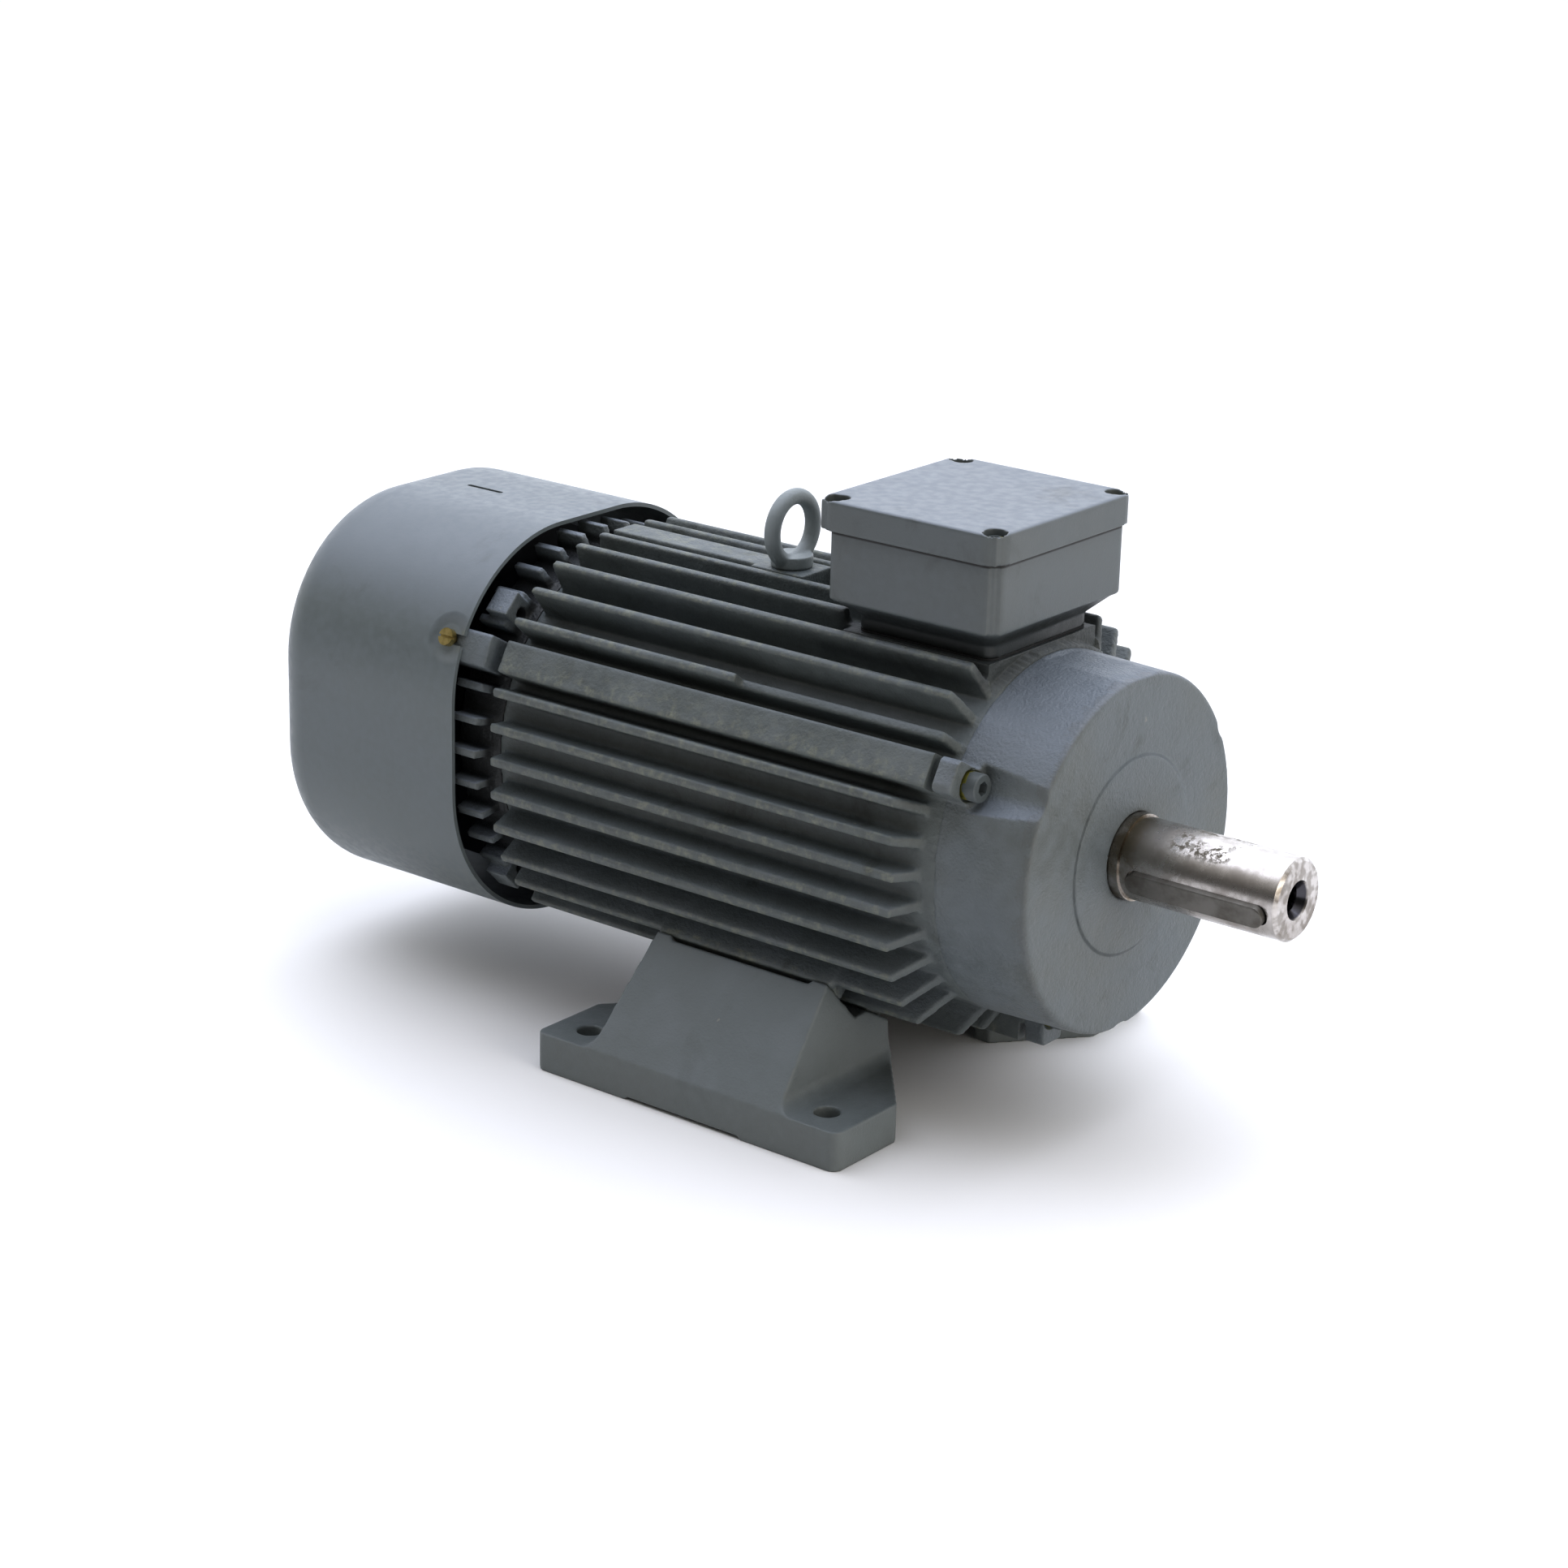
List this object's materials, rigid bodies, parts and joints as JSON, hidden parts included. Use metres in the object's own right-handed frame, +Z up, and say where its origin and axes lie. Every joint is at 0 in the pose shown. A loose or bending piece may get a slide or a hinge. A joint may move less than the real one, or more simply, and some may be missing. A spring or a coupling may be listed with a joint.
{
  "type": "electric motor",
  "caption": "Foot-mounted three-phase electric motor with a finned cast housing, bolted-on feet, terminal box, lifting eye, fan under a rounded cover and a keyed shaft end",
  "frame": {"origin": "centre of the foot-hole pattern, on the plane the feet stand on", "axes": "+X along the shaft towards the drive end, +Z up, -Y the side seen in the picture"},
  "size_m": [0.527, 0.2508, 0.281],
  "materials": {
    "blue_grey_paint": "matte",
    "cover_paint": "satin",
    "ground_steel": "ground",
    "bearing_steel": "polished",
    "zinc_screws": "yellow zinc",
    "painted_screws": "matte",
    "brass": "satin",
    "cast_aluminium": "cast",
    "core_steel": "laminated",
    "winding_enamel": "varnished",
    "black_rubber": "matte",
    "moulded_black": "matte",
    "fan_plastic": "matte"
  },
  "bodies": {
    "stator": {"stator_housing": "blue_grey_paint", "drive_end_shield": "blue_grey_paint", "fan_end_shield": "blue_grey_paint", "foot_near": "blue_grey_paint", "foot_far": "blue_grey_paint", "foot_screws": "painted_screws", "drive_end_screws": "zinc_screws", "fan_end_screws": "zinc_screws", "fan_cover": "cover_paint", "fan_cover_screws": "brass", "stator_core": "core_steel", "stator_winding": "winding_enamel", "terminal_box": "blue_grey_paint", "box_gasket": "black_rubber", "box_screws": "painted_screws", "terminal_lid": "blue_grey_paint", "lid_gasket": "black_rubber", "lid_screws": "painted_screws", "terminal_block": "moulded_black", "terminal_studs": "brass", "terminal_nuts": "brass", "terminal_links": "brass", "earth_screw": "brass", "entry_plugs": "moulded_black", "lifting_eye": "blue_grey_paint", "drive_end_seal": "black_rubber", "drive_bearing_outer_ring": "bearing_steel", "fan_bearing_outer_ring": "bearing_steel", "bearing_clip": "ground_steel", "wave_spring": "ground_steel"},
    "rotor": {"rotor_shaft": "ground_steel", "shaft_key": "ground_steel", "rotor_core": "core_steel", "rotor_cage": "cast_aluminium", "drive_bearing_inner_ring": "bearing_steel", "fan_bearing_inner_ring": "bearing_steel", "fan": "fan_plastic", "fan_clip": "ground_steel", "fan_end_seal": "black_rubber"},
    "drive_ball_set": {"drive_bearing_balls": "bearing_steel", "drive_bearing_cage": "ground_steel"},
    "fan_ball_set": {"fan_bearing_balls": "bearing_steel", "fan_bearing_cage": "ground_steel"}
  },
  "joints": [
    {"name": "rotor_spin", "type": "hinge", "parent": "stator", "child": "rotor", "pos_m": [0, 0, 0.132], "axis": [1, 0, 0], "continuous": true},
    {"name": "drive_balls_roll", "type": "hinge", "parent": "stator", "child": "drive_ball_set", "pos_m": [0.131, 0, 0.132], "axis": [1, 0, 0], "continuous": true},
    {"name": "fan_balls_roll", "type": "hinge", "parent": "stator", "child": "fan_ball_set", "pos_m": [-0.16, 0, 0.132], "axis": [1, 0, 0], "continuous": true}
  ],
  "couplings": [
    {"joint": "drive_balls_roll", "follows": "rotor_spin", "ratio": 0.4008},
    {"joint": "fan_balls_roll", "follows": "rotor_spin", "ratio": 0.4008}
  ]
}
